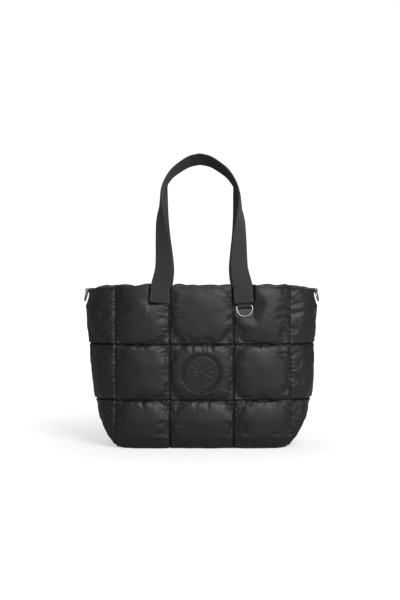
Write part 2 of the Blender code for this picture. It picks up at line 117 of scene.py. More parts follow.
def plan(column, z):
    # The stitched wall from above. A column is 0 in the middle, 1 and 2 on the quilt seams, 3 at the edge
    # of the blunt end and 4 on the side seam.
    stops = (
        (0.0, half_depth(z)),
        (CENTRE_SEAM * BODY_HALF_WIDTH, half_depth(z)),
        (CORNER_SEAM * BODY_HALF_WIDTH, CORNER_DEPTH_SHARE * half_depth(z)),
        (half_width(z), BLUNT_END * along(SECTIONS, z / BODY_HEIGHT, 3)),
        (half_width(z), 0.5 * GAP),
    )
    first = min(int(abs(column)), len(stops) - 2)
    share = abs(column) - first
    start, end = Vector(stops[first]), Vector(stops[first + 1])
    chord = end - start
    point = start.lerp(end, share) + BOWS[first] * 4.0 * share * (1.0 - share) * Vector((-chord.y, chord.x))
    point.x = math.copysign(point.x, column)
    return point


def outward(column, z):
    step = 0.01
    here = plan(column, z)
    before = here - plan(max(column - step, -4.0), z)
    after = plan(min(column + step, 4.0), z) - here
    tangent = before.normalized() + after.normalized()
    return Vector((-tangent.y, tangent.x)).normalized()


# How the padding fills a cell: the puffs of the end columns are flatter towards the side seam, the bottom
# row is already full where it meets the base, and the top row still full where it meets the rim. The
# padding stands well above the stitches right beside them, so that the seams are deep and narrow.
END_FLATNESS = 0.5
BULGE_POWER = 0.80
SEAM_FILL = 0.42
END_SEAM_LOSS = 0.55
BASE_FILL = 0.10
RIM_FILL = 0.05


def bulge(share):
    return max(0.0, 4.0 * share * (1.0 - share)) ** BULGE_POWER


def across_fill(column):
    place = abs(column)
    if place <= 1.0:
        return bulge(0.5 * (column + 1.0))
    if place >= 3.0:
        return 0.0
    share = place - int(place)
    return bulge(share) * (1.0 - END_FLATNESS * share**2 * (place > 2.0))


def puff_fill(column, row):
    beside_seam = SEAM_FILL * min(1.0, max(0.0, (3.0 - abs(column)) / 0.25))
    beside_seam *= 1.0 - END_SEAM_LOSS * math.exp(-(((abs(column) - 2.0) / 0.22) ** 2))
    return beside_seam + (1.0 - beside_seam) * across_fill(column) * up_fill(row)


def up_fill(row):
    share = row - min(int(row), 2)
    if row < 1.0:
        share = BASE_FILL + (1.0 - BASE_FILL) * share
    if row > 2.0:
        share *= 1.0 - RIM_FILL
    return bulge(share)


def dipped(column, z, dip_start):
    # The rim dips towards the side seams.
    dip = END_DIP * min(1.0, max(0.0, (abs(column) - dip_start) / (3.0 - dip_start)))
    return z - dip * max(0.0, (z - ROW_HEIGHTS[2]) / (BODY_HEIGHT - ROW_HEIGHTS[2]))


# The tabs, where the handles' ends are sewn on over the quilting
STRAP_WIDTH = 0.038
STRAP_THICKNESS = 0.003
TAB_HEIGHT = 0.036
TAB_SLANT = math.radians(4.7)
TAB_SEAT = 0.004
TAB_LOW = BODY_HEIGHT - TAB_HEIGHT
TAB_MIDDLE = BODY_HEIGHT - 0.5 * TAB_HEIGHT
TAB_X = CENTRE_SEAM * BODY_HALF_WIDTH + 0.5 * STRAP_WIDTH
TAB_DEPTH = half_depth(TAB_MIDDLE)
TAB_UP = Vector((-math.sin(TAB_SLANT), 0.0, math.cos(TAB_SLANT)))
TAB_ACROSS = Vector((math.cos(TAB_SLANT), 0.0, math.sin(TAB_SLANT)))


def up_at(z):
    return (z - TAB_MIDDLE) / math.cos(TAB_SLANT)


def tab_point(up, out, side):
    point = Vector((TAB_X, 0.0, TAB_MIDDLE)) + up * TAB_UP
    point.y = side * (TAB_DEPTH + out)
    return point


# The front ring's place: its bar hangs just below the right tab, in a loop of thin webbing
WIRE_RADIUS = 0.0014
RING_HALF_WIDTH = 0.01535
RING_DROP = 0.0204
FRONT_RING_LEAN = math.radians(14.0)
LOOP_THICKNESS = 0.0012
FRONT_LOOP_WIDTH = 0.025
LOOP_RADIUS = WIRE_RADIUS + GAP + 0.5 * LOOP_THICKNESS
LOOP_TOP_LAYER = TAB_SEAT - GAP - 0.5 * LOOP_THICKNESS
LOOP_UNDER_LAYER = LOOP_TOP_LAYER - GAP - LOOP_THICKNESS
LOOP_SEAT = LOOP_UNDER_LAYER - 0.5 * LOOP_THICKNESS - GAP
FRONT_BAR_OUT = LOOP_UNDER_LAYER + LOOP_RADIUS
FRONT_BAR_Z = TAB_LOW - 0.0055
RING_LOW = FRONT_BAR_Z - (RING_DROP + 2.0 * WIRE_RADIUS) * math.cos(FRONT_RING_LEAN)
LOOP_LOW = FRONT_BAR_Z - LOOP_RADIUS - LOOP_THICKNESS

# The patch's place, in the middle cell
PATCH_RADIUS = 0.0375
PATCH_SEAT = 0.010
PATCH_Z = 0.5 * (ROW_HEIGHTS[1] + ROW_HEIGHTS[2])

# What presses the fabric in: x, half width, low and high z, the depth at those heights, and how far the
# fabric rises right beside it
DENT_SLOPE = 0.38
DENT_STEP_SLOPE = 2.6
DENT_BLEND = 0.004
DENT_CLEAR = 0.0016
TAB_STEP = TAB_SEAT + STRAP_THICKNESS
ring_clear = TAB_DEPTH + FRONT_BAR_OUT - (WIRE_RADIUS + GAP) / math.cos(FRONT_RING_LEAN)
ring_slope = math.tan(FRONT_RING_LEAN)
ring_x = tab_point(up_at(0.5 * (RING_LOW + FRONT_BAR_Z)), 0.0, FRONT).x
ring_reach = RING_HALF_WIDTH + WIRE_RADIUS + DENT_CLEAR
ring_low_depth = ring_clear + ring_slope * (FRONT_BAR_Z - RING_LOW)
tab_reach = 0.5 * STRAP_WIDTH + DENT_CLEAR
tab_press = TAB_DEPTH + TAB_SEAT - GAP
loop_press = TAB_DEPTH + LOOP_SEAT
loop_x = tab_point(up_at(LOOP_LOW), 0.0, FRONT).x
loop_reach = 0.5 * FRONT_LOOP_WIDTH + DENT_CLEAR
patch_low, patch_high = PATCH_Z - PATCH_RADIUS, PATCH_Z + PATCH_RADIUS
patch_low_depth = half_depth(patch_low) + PATCH_SEAT
patch_high_depth = half_depth(patch_high) + PATCH_SEAT
left_tab_dent = (-TAB_X, tab_reach, TAB_LOW - GAP, BODY_HEIGHT, tab_press, tab_press, TAB_STEP)
right_tab_dent = (TAB_X, tab_reach, TAB_LOW - GAP, BODY_HEIGHT, tab_press, tab_press, TAB_STEP)
front_dents = (
    left_tab_dent,
    (TAB_X, tab_reach, TAB_LOW - GAP, BODY_HEIGHT, loop_press, loop_press, TAB_STEP),
    (loop_x, loop_reach, LOOP_LOW, TAB_LOW, loop_press, loop_press, TAB_SEAT),
    (ring_x, ring_reach, RING_LOW, FRONT_BAR_Z + WIRE_RADIUS, ring_low_depth, ring_clear, 0.001),
    (0.0, PATCH_RADIUS + 0.001, patch_low, patch_high, patch_low_depth, patch_high_depth, 0.001),
)
back_dents = (left_tab_dent, right_tab_dent)

# Places that the folds run away from: x, z, radius, how far they reach and how deep they are
PULL_RADIUS, PULL_REACH = 0.002, 0.010
PULL_FOLDS = 1.5
PATCH_PULL_REACH, PATCH_PULL = 0.006, 0.4
tab_edges = (TAB_X - 0.017, TAB_X + 0.021)
tab_corners = [(hand * x, TAB_LOW, PULL_RADIUS, PULL_REACH, 1.0) for hand in (-1, 1) for x in tab_edges]
front_pulls = [*tab_corners, (0.0, PATCH_Z, PATCH_RADIUS, PATCH_PULL_REACH, PATCH_PULL)]
back_pulls = tab_corners


def pressed(depth, x, z, dents):
    # The least of the depths that the dents allow, blended so that no edge shows. The patch's is round.
    for place, reach, low, high, low_depth, high_depth, step in dents:
        if place == 0.0:
            away = max(0.0, math.hypot(x, z - 0.5 * (low + high)) - reach)
        else:
            away = math.hypot(max(abs(x - place) - reach, 0.0), max(z - high, low - z, 0.0))
        share = min(1.0, max(0.0, (z - low) / (high - low)))
        limit = low_depth + share * (high_depth - low_depth)
        limit += min(step, DENT_STEP_SLOPE * away) + DENT_SLOPE * away
        blend = max(0.0, DENT_BLEND - abs(depth - limit)) / DENT_BLEND
        depth = min(depth, limit) - 0.25 * DENT_BLEND * blend**2
    return depth


# Gathers beside the seams: depth, length along the seam, and how far they reach from an upright and from
# a level seam. The crease is the stitched line itself, drawn in below the puffs, with small puckers
# between the stitches.
GATHER = 0.0009
GATHER_LENGTH = 0.0075
UPRIGHT_REACH = 0.0058
LEVEL_REACH = 0.0034
LEVEL_SHARES = (0.9, 0.5, 0.45, 0.2)
BASE_REACH = 0.0060
CREASE = 0.0062
CREASE_WIDTH = 0.0016
UPRIGHT_NARROWING, LEVEL_NARROWING = (1.15, 0.9), 1.1
WOBBLE = 0.0012
UPRIGHT_WOBBLE_RUN, LEVEL_WOBBLE_RUN = 0.005, 0.006
UPRIGHT_WOBBLE_LAYER, LEVEL_WOBBLE_LAYER = 4.0, 8.0
PUCKER = 0.0010
PUCKER_LENGTH = 0.0042
PUCKER_REACH = 0.0030
SLACK = 0.0013
SLACK_LENGTH = 0.034

# How uneven the folds are: how much their reach, lean and depth vary, and over what length of seam. A
# fold's section is round, with a sharp pinch beside it.
REACH_VARIES, REACH_RUN = 0.9, 0.012
LEAN_VARIES, LEAN_RUN = 1.2, 0.030
GROUP_VARIES, GROUP_RUN = 1.5, 0.028
GROUP_MEAN, GROUP_LEAST = 0.85, 0.15
FOLD_HEIGHT, FOLD_PINCH = 2.4, 0.6
FADED = 7.0

# The noise has a layer of its own for each effect, and a seed for each seam, hand, edge and side
PINCH_LAYER, REACH_LAYER, LEAN_LAYER, GROUP_LAYER, FOLD_LAYER = 7.0, 5.0, 9.0, 2.0, 0.5
SEAM_SEED, HAND_SEED, EDGE_SEED, SIDE_SEED = 10.0, 3.7, 1.9, 20.0
LEVEL_SEED, PULL_SEED, PULL_STEP, SLACK_SEED = 50.0, 90.0, 7.0, 3.0


def fold_wave(along_seam, away, reach, seed):
    # One side's folds: round between sharp pinches, leaning a little, in groups, fading from the seam.
    if away > FADED * reach:
        return 0.0
    pinch = noise.noise((along_seam / PUCKER_LENGTH, seed, PINCH_LAYER)) * math.exp(-away / PUCKER_REACH)
    reach *= 1.0 + REACH_VARIES * noise.noise((along_seam / REACH_RUN, seed, REACH_LAYER))
    lean = LEAN_VARIES * noise.noise((along_seam / LEAN_RUN, seed, LEAN_LAYER))
    group = GROUP_MEAN + GROUP_VARIES * noise.noise((along_seam / GROUP_RUN, seed, GROUP_LAYER))
    group = max(GROUP_LEAST, group)
    place = ((along_seam + lean * away) / GATHER_LENGTH, seed, FOLD_LAYER)
    wave = FOLD_HEIGHT * abs(noise.noise(place)) - FOLD_PINCH
    return GATHER * wave * group * (away / reach) * math.exp(1.0 - away / reach) + PUCKER * pinch


def gathers(x, z, side, pulls):
    fold = SLACK * noise.noise((x / SLACK_LENGTH, z / SLACK_LENGTH, SLACK_SEED * side))
    for i, seam in enumerate((CENTRE_SEAM * BODY_HALF_WIDTH, CORNER_SEAM * BODY_HALF_WIDTH)):
        gap = abs(x) - seam
        seed = SEAM_SEED * i + HAND_SEED * math.copysign(1.0, x)
        seed += EDGE_SEED * math.copysign(1.0, gap) + SIDE_SEED * side
        fold += fold_wave(z, abs(gap), UPRIGHT_REACH, seed)
    for i, seam in enumerate(ROW_HEIGHTS):
        gap = z - seam
        seed = LEVEL_SEED + SEAM_SEED * i + EDGE_SEED * math.copysign(1.0, gap) + SIDE_SEED * side
        reach = BASE_REACH if i == 1 and gap < 0.0 else LEVEL_REACH
        fold += LEVEL_SHARES[i] * fold_wave(x, abs(gap), reach, seed)
    for i, (pull_x, pull_z, radius, reach, strength) in enumerate(pulls):
        span = Vector((x - pull_x, z - pull_z))
        away = max(0.0, span.length - radius)
        if away < FADED * reach:
            turn = span.normalized() * max(PULL_FOLDS, radius / GATHER_LENGTH)
            wave = FOLD_HEIGHT * abs(noise.noise((turn.x, turn.y, PULL_SEED + PULL_STEP * i))) - FOLD_PINCH
            fold += GATHER * strength * wave * (away / reach) * math.exp(1.0 - away / reach)
    return fold


def creases(x, z):
    # How far the stitched lines draw the fabric in.
    drawn = 0.0
    uprights = zip((CENTRE_SEAM * BODY_HALF_WIDTH, CORNER_SEAM * BODY_HALF_WIDTH), UPRIGHT_NARROWING)
    for seam, narrowing in uprights:
        wobble = WOBBLE * noise.noise((z / UPRIGHT_WOBBLE_RUN, seam, math.copysign(UPRIGHT_WOBBLE_LAYER, x)))
        drawn = max(drawn, math.exp(-((narrowing * (abs(x) - seam + wobble) / CREASE_WIDTH) ** 2)))
    for seam in ROW_HEIGHTS[1:3]:
        wobble = WOBBLE * noise.noise((x / LEVEL_WOBBLE_RUN, seam, LEVEL_WOBBLE_LAYER))
        drawn = max(drawn, math.exp(-((LEVEL_NARROWING * (z - seam + wobble) / CREASE_WIDTH) ** 2)))
    return CREASE * drawn


# The bag slumps a little to the right, low down
SLUMP = 0.0065
SLUMP_HEIGHT = 0.100
SLUMP_REACH = 0.075


def slumped(x, z):
    if x < 0.0:
        return x
    return x + SLUMP * (x / half_width(z)) ** 2 * math.exp(-(((z - SLUMP_HEIGHT) / SLUMP_REACH) ** 2))


# Steps of the outer grid in each cell, about 3.2 mm apart. The inner face has every second column and
# row. The rim goes round in turns, in degrees.
COLUMN_STEPS = ((-4, -3, 4), (-3, -2, 28), (-2, -1, 34), (-1, 1, 40), (1, 2, 34), (2, 3, 28), (3, 4, 4))
ROW_STEPS = ((0, 1, 30), (1, 2, 34), (2, 3, 34))
RIM_TURNS = (-12.0, 10.0, 34.0, 60.0, 88.0, 122.0, 160.0, 204.0)
RIM_PUFF = 0.0034
RIM_WAVE = 0.0046
RIM_WAVE_LENGTH = 0.030
RIM_NOTCH = 0.0022
RIM_NOTCH_REACH = 0.045
RIM_RUN = 0.020
RIM_SEED = 3.0

# The fabric's length from the middle to each column, for its weave
RUNS = (0.0, 0.0625, 0.174, 0.272, 0.284)

# Filling: how full a cell is before the simulation, how far the fabric may move in it, and the fabric
START_FILL = 0.84
SIM_FRAMES = 20
PRESSURE = 4.0
SPARE_CLOTH = 0.045
MOST_OUT = 0.0030
FABRIC = {
    "quality": 5,
    "mass": 0.15,
    "tension_stiffness": 15.0,
    "compression_stiffness": 15.0,
    "shear_stiffness": 4.0,
    "bending_stiffness": 0.02,
}

# How the filled fabric is finished: how deep its inner folds are, how far it may stand out at the sides
# and how softly it is held there, how far the two quilts overlap, and its height above the floor
INNER_FOLDS = 0.6
SIDE_SPARE = 0.0022
SIDE_SOFTNESS = 0.0030
SEAM_OVERLAP = 0.0006
FLOOR_CLEAR = 0.0002

# The bottom corners are rounded up off the floor
CORNER_START = 0.148
CORNER_LENGTH = 0.026
CORNER_HEIGHT = 0.024
CORNER_LIFT = 0.0065


def spread(steps):
    places = [float(steps[0][0])]
    for start, end, count in steps:
        places += [round(start + (end - start) * (i + 1) / count, 6) for i in range(count)]
    return places


def quilt_point(column, row, inner, side, dip_start):
    # A point of the fabric's outer or inner face, before it is filled.
    first = min(int(row), 2)
    flat_z = ROW_HEIGHTS[first] + (row - first) * (ROW_HEIGHTS[first + 1] - ROW_HEIGHTS[first])
    z = dipped(column, flat_z, dip_start)
    here = plan(column, z)
    away = outward(column, z)
    if inner:
        clear = 2.0 * BASE_WALL / ROW_HEIGHTS[1] if row < 1.0 else 0.0
        filled = bulge(max(0.0, (row - first - clear) / (1.0 - clear)))
        here -= (SEAM_WALL + START_FILL * PUFF_IN * across_fill(column) * filled) * away
    else:
        here += START_FILL * PUFF_OUT * puff_fill(column, row) * away
    if abs(column) == 4.0:
        here.y = -SEAM_OVERLAP
    return Vector((here.x, side * here.y, z))


def rim_point(column, turn, side, dip_start):
    # A point of the rolled rim, round its section from the outer stitch line to the inner one. It is
    # puffed like the cells below it, pulled down at the quilt seams and uneven between them.
    z = dipped(column, BODY_HEIGHT - RIM_ROLL, dip_start)
    here = plan(column, z)
    puff = RIM_PUFF * puff_fill(column, 2.5)
    out = RIM_HALF_THICKNESS * math.cos(turn) - 0.5 * SEAM_WALL + puff * max(0.0, math.cos(turn))
    here += out * outward(column, z)
    if abs(column) == 4.0:
        here.y = -SEAM_OVERLAP
    top = max(0.0, math.sin(turn))
    uneven = RIM_WAVE * noise.noise((here.x / RIM_WAVE_LENGTH, RIM_SEED * side, 0.0))
    notches = [math.exp(-(((abs(column) - seam) / RIM_NOTCH_REACH) ** 2)) for seam in (1.0, 2.0)]
    uneven -= RIM_NOTCH * max(notches)
    return Vector((here.x, side * here.y, z + 0.5 * RIM_ROLL * (1.0 + math.sin(turn)) + uneven * top))


def fill_cloth(piece, pressure, spare, most_out):
    # Blows the piece up inside its held seams, keeps each point near its start and halves the mesh.
    start = [point.co.copy() for point in piece.data.vertices]
    filling = piece.modifiers.new("filling", "CLOTH")
    filling.point_cache.frame_start = 1
    filling.point_cache.frame_end = SIM_FRAMES
    cloth = filling.settings
    for name, value in FABRIC.items():
        setattr(cloth, name, value)
    cloth.vertex_group_mass = "sewn"
    cloth.use_pressure = True
    cloth.uniform_pressure_force = pressure
    cloth.shrink_min = -spare
    cloth.effector_weights.gravity = 0.0
    for number in range(1, SIM_FRAMES + 1):
        bpy.context.scene.frame_set(number)
    bpy.ops.object.modifier_apply(modifier="filling")
    bpy.context.scene.frame_set(1)
    for point, before in zip(piece.data.vertices, start):
        moved = point.co - before
        if moved.length > most_out:
            point.co = before + most_out * moved.normalized()
    finer = piece.modifiers.new("finer", "SUBSURF")
    finer.levels = 1
    finer.render_levels = 1
    bpy.ops.object.modifier_apply(modifier="finer")


def add_object(name, data):
    # A new object in the scene, alone selected and active.
    piece = bpy.data.objects.new(name, data)
    bpy.context.scene.collection.objects.link(piece)
    bpy.ops.object.select_all(action="DESELECT")
    piece.select_set(True)
    bpy.context.view_layer.objects.active = piece
    return piece


def add_quilt(name, node, side, dip_start, dents, pulls, material):
    # The outer mark is 1 on the outer face, 0 on the rim and -1 on the inner face.
    columns = spread(COLUMN_STEPS)
    rows = spread(ROW_STEPS)
    shape = bmesh.new()
    fabric_uv = shape.loops.layers.uv.new("fabric")
    outer_mark = shape.verts.layers.float.new("outer")
    sewn = []
    flat = {}

    def lay(point, column, run, is_sewn, is_outer):
        vert = shape.verts.new(point)
        vert[outer_mark] = is_outer
        first = min(int(abs(column)), len(RUNS) - 2)
        length = RUNS[first] + (abs(column) - first) * (RUNS[first + 1] - RUNS[first])
        flat[vert] = (math.copysign(length, column), run)
        if is_sewn:
            sewn.append(vert)
        return vert

    def on_seam(column, row, rows_sewn):
        return row in rows_sewn or abs(column) in (1.0, 2.0, 4.0)

    outer = []
    for column in columns:
        line = []
        for row in rows:
            place = quilt_point(column, row, False, side, dip_start)
            line.append(lay(place, column, place.z, on_seam(column, row, (0.0, 1.0, 2.0)), 1.0))
        for turn in RIM_TURNS:
            place = rim_point(column, math.radians(turn), side, dip_start)
            run = BODY_HEIGHT + RIM_RUN * (turn - RIM_TURNS[0]) / (RIM_TURNS[-1] - RIM_TURNS[0])
            line.append(lay(place, column, run, abs(column) == 4.0, 0.0))
        outer.append(line)
    inner = []
    for column in columns[::2]:
        line = []
        for row in reversed(rows[::2]):
            place = quilt_point(column, row, True, side, dip_start)
            is_sewn = on_seam(column, row, (0.0, 1.0, 2.0, 3.0))
            line.append(lay(place, column, 2.0 * BODY_HEIGHT - place.z, is_sewn, -1.0))
        inner.append(line)
    for a, b in zip(outer, outer[1:]):
        for j in range(len(a) - 1):
            shape.faces.new((a[j], b[j], b[j + 1], a[j + 1]))
    for k, (a, b) in enumerate(zip(inner, inner[1:])):
        for j in range(len(a) - 1):
            shape.faces.new((a[j], b[j], b[j + 1], a[j + 1]))
        three = outer[2 * k : 2 * k + 3]
        shape.faces.new((*(line[-1] for line in three), b[0], a[0]))
        shape.faces.new((*(line[0] for line in reversed(three)), a[-1], b[-1]))
    for far, near in ((outer[0], inner[0]), (outer[-1], inner[-1])):
        shape.faces.new((*far[len(rows) - 1 :], near[0]))
        for j in range(0, len(rows) - 1, 2):
            k = len(near) - 1 - j // 2
            shape.faces.new((far[j], far[j + 1], far[j + 2], near[k - 1], near[k]))
    bmesh.ops.recalc_face_normals(shape, faces=shape.faces)
    if shape.calc_volume(signed=True) < 0.0:
        bmesh.ops.reverse_faces(shape, faces=shape.faces)
    for face in shape.faces:
        for loop in face.loops:
            loop[fabric_uv].uv = flat[loop.vert]
    shape.verts.index_update()
    held = [vert.index for vert in sewn]
    mesh = bpy.data.meshes.new(name)
    shape.to_mesh(mesh)
    shape.free()
    panel = add_object(name, mesh)
    panel.vertex_groups.new(name="sewn").add(held, 1.0, "REPLACE")
    mesh.shade_smooth()
    fill_cloth(panel, PRESSURE, SPARE_CLOTH, MOST_OUT)
    mark = panel.data.attributes["outer"].data
    normals = [point.normal.copy() for point in panel.data.vertices]
    for point, up, marked in zip(panel.data.vertices, normals, mark):
        x, z = point.co.x, point.co.z
        if marked.value > 0.5:
            wall = Vector((up.x, up.y, 0.0)).normalized()
            point.co += gathers(x, z, side, pulls) * up - creases(x, z) * wall
        elif marked.value > -0.5:
            point.co -= 0.5 * creases(x, z) * up
        else:
            point.co += INNER_FOLDS * gathers(x, z, 5.0 * side, ()) * up
        point.co.x = slumped(point.co.x, z)
        widest = half_width(z) + SIDE_SPARE + (slumped(half_width(z), z) - half_width(z)) * (x > 0.0)
        over = abs(point.co.x) - widest + SIDE_SOFTNESS
        if over > 0.0:
            point.co.x = math.copysign(widest - SIDE_SOFTNESS * math.exp(-over / SIDE_SOFTNESS), x)
        depth = side * point.co.y
        if marked.value > -0.5:
            depth = pressed(depth, point.co.x, point.co.z, dents)
        point.co.y = side * max(-SEAM_OVERLAP, depth)
        corner = max(0.0, (abs(x) - CORNER_START) / CORNER_LENGTH) * max(0.0, 1.0 - z / CORNER_HEIGHT)
        point.co.z = max(FLOOR_CLEAR, point.co.z + CORNER_LIFT * corner**2)
    panel.data.attributes.remove(panel.data.attributes["outer"])
    panel.vertex_groups.clear()
    panel.data.materials.append(material)
    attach(panel, "bag")
    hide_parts(node)


# The quilts' nylon: a fine plain weave with a soft sheen, uneven in tone as cloth that has been handled.
# Its weave is raised dots, one for each crossing of the yarns, and its mottle a slow change of tone.


def add_node(tree, kind, settings=(), values=(), links=()):
    node = tree.nodes.new(kind)
    for name, value in settings:
        setattr(node, name, value)
    for name, value in values:
        node.inputs[name].default_value = value
    for name, output in links:
        tree.links.new(output, node.inputs[name])
    return node


def add_math(tree, operation, first, second=0.0):
    node = tree.nodes.new("ShaderNodeMath")
    node.operation = operation
    for socket, value in zip(node.inputs, (first, second)):
        if isinstance(value, float):
            socket.default_value = value
        else:
            tree.links.new(value, socket)
    return node.outputs[0]


def add_group(name, inputs, output):
    tree = bpy.data.node_groups.new(name, "ShaderNodeTree")
    for label, kind in inputs:
        tree.interface.new_socket(name=label, in_out="INPUT", socket_type=kind)
    tree.interface.new_socket(name=output, in_out="OUTPUT", socket_type="NodeSocketFloat")
    return tree, tree.nodes.new("NodeGroupInput").outputs, tree.nodes.new("NodeGroupOutput").inputs


at_pitch = [("Place", "NodeSocketVector"), ("Pitch", "NodeSocketFloat")]
weave, given, result = add_group("weave", at_pitch, "Height")
yarns = add_node(weave, "ShaderNodeSeparateXYZ", links=[("Vector", given["Place"])])
turns = add_math(weave, "DIVIDE", 2.0 * math.pi, given["Pitch"])
warp = add_math(weave, "SINE", add_math(weave, "MULTIPLY", yarns.outputs["X"], turns))
weft = add_math(weave, "SINE", add_math(weave, "MULTIPLY", yarns.outputs["Y"], turns))
weave.links.new(add_math(weave, "MULTIPLY", warp, weft), result["Height"])

at_scale = [("Place", "NodeSocketVector"), ("Scale", "NodeSocketFloat")]
mottle, given, result = add_group("mottle", at_scale, "Tone")
cloud = add_node(
    mottle,
    "ShaderNodeTexNoise",
    values=[("Detail", 4.0), ("Roughness", 0.6)],
    links=[("Vector", given["Place"]), ("Scale", given["Scale"])],
)
mottle.links.new(cloud.outputs["Fac"], result["Tone"])


MOTTLE_LOW, MOTTLE_HIGH = 0.3, 0.7


def add_material(name, tones, shine, tone_scale, weave_by, grain_by):
    # Two tones and two roughnesses mixed by mottle, a weave by the UV map (its pitch and depth) and a grain
    # in relief (its scale, depth and height).
    pitch, weave_depth = weave_by
    grain_scale, grain_depth, grain_height = grain_by
    material = bpy.data.materials.new(name)
    material.use_nodes = True
    tree = material.node_tree
    shader = tree.nodes["Principled BSDF"]
    place = tree.nodes.new("ShaderNodeTexCoord").outputs
    clouds = ("ShaderNodeGroup", [("node_tree", mottle)])
    tone = add_node(tree, *clouds, [("Scale", tone_scale)], [("Place", place["Object"])]).outputs["Tone"]
    colour = add_node(tree, "ShaderNodeValToRGB", links=[("Fac", tone)])
    for stop, at, shade in zip(colour.color_ramp.elements, (MOTTLE_LOW, MOTTLE_HIGH), tones):
        stop.position = at
        stop.color = (*shade, 1.0)
    tree.links.new(colour.outputs["Color"], shader.inputs["Base Color"])
    spans = [("From Min", MOTTLE_LOW), ("From Max", MOTTLE_HIGH), ("To Min", shine[0]), ("To Max", shine[1])]
    rough = add_node(tree, "ShaderNodeMapRange", values=spans, links=[("Value", tone)])
    tree.links.new(rough.outputs["Result"], shader.inputs["Roughness"])
    grain = add_node(tree, *clouds, [("Scale", grain_scale)], [("Place", place["Object"])])
    relief = add_node(
        tree,
        "ShaderNodeBump",
        values=[("Strength", grain_depth), ("Distance", grain_height)],
        links=[("Height", grain.outputs["Tone"])],
    )
    if weave_depth > 0.0:
        yarn = add_node(
            tree, "ShaderNodeGroup", [("node_tree", weave)], [("Pitch", pitch)], [("Place", place["UV"])]
        )
        relief = add_node(
            tree,
            "ShaderNodeBump",
            values=[("Strength", weave_depth), ("Distance", 0.25 * pitch)],
            links=[("Height", yarn.outputs["Height"]), ("Normal", relief.outputs["Normal"])],
        )
    tree.links.new(relief.outputs["Normal"], shader.inputs["Normal"])
    return material, shader


dark, pale = (0.0068, 0.0068, 0.0073), (0.0096, 0.0096, 0.0102)
nylon, shader = add_material("nylon", (dark, pale), (0.47, 0.59), 24.0, (0.0009, 0.10), (190.0, 0.22, 0.0012))
shader.inputs["Specular IOR Level"].default_value = 0.42
shader.inputs["Sheen Weight"].default_value = 0.04
shader.inputs["Sheen Roughness"].default_value = 0.4

add_quilt("front_quilt", "front_panel", FRONT, FRONT_DIP_START, front_dents, front_pulls, nylon)
add_quilt("back_quilt", "back_panel", BACK, BACK_DIP_START, back_dents, back_pulls, nylon)


# Handles: each is one length of webbing. Both ends are turned under and sewn to the quilting as square
# tabs, and the webbing twists from there into an arch, so that it lies flat in the hand.

TAB_TOP = BODY_HEIGHT
TURNED_END = 0.024
HANDLE_RISE = 0.2535
HANDLE_LEAN = 0.068
FRONT_SWAY = -0.004
BACK_SWAY = -0.003
UNDER_LAYER = TAB_SEAT + 0.5 * STRAP_THICKNESS
TOP_LAYER = UNDER_LAYER + STRAP_THICKNESS + GAP
CURVE_STEPS = 8
STRAP_COLUMNS = 8

# Rise, spread and lean as shares, then the turn of the width away from X and its fall, in degrees
FRONT_HANDLE = (
    (0.000, 1.000, 0.000, 6.0, 0.0),
    (0.117, 0.930, 0.050, 24.0, 4.0),
    (0.223, 0.922, 0.130, 32.0, 8.0),
    (0.383, 0.958, 0.280, 48.0, 12.0),
    (0.523, 0.994, 0.430, 65.0, 15.0),
    (0.621, 0.988, 0.540, 80.0, 18.0),
    (0.700, 0.965, 0.625, 90.0, 20.0),
    (0.789, 0.880, 0.730, 90.0, 22.0),
    (0.875, 0.710, 0.840, 90.0, 24.0),
    (0.9375, 0.480, 0.930, 90.0, 26.0),
    (0.982, 0.245, 0.985, 90.0, 27.0),
    (1.000, 0.000, 1.000, 90.0, 27.0),
)
BACK_HANDLE = (
    (0.000, 1.000, 0.000, 6.0, 0.0),
    (0.117, 0.945, 0.050, 22.0, 4.0),
    (0.223, 0.955, 0.130, 30.0, 8.0),
    (0.383, 0.972, 0.280, 48.0, 12.0),
    (0.523, 0.975, 0.430, 58.0, 15.0),
    (0.621, 0.962, 0.540, 64.0, 18.0),
    (0.700, 0.950, 0.625, 68.0, 20.0),
    (0.789, 0.920, 0.730, 74.0, 22.0),
    (0.875, 0.760, 0.840, 86.0, 24.0),
    (0.9375, 0.520, 0.930, 90.0, 26.0),
    (0.982, 0.265, 0.985, 90.0, 27.0),
    (1.000, 0.000, 1.000, 90.0, 27.0),
)


def between(before, start, end, after, share):
    slope = end - before
    bend = 2.0 * before - 5.0 * start + 4.0 * end - after
    twist = 3.0 * start - before - 3.0 * end + after
    return start + 0.5 * (slope * share + bend * share**2 + twist * share**3)


def smooth_rows(rows):
    padded = (rows[0], *rows, rows[-1])
    smooth = []
    for four in zip(padded, padded[1:], padded[2:], padded[3:]):
        for step in range(CURVE_STEPS):
            smooth.append([between(*values, step / CURVE_STEPS) for values in zip(*four)])
    return smooth + [list(rows[-1])]


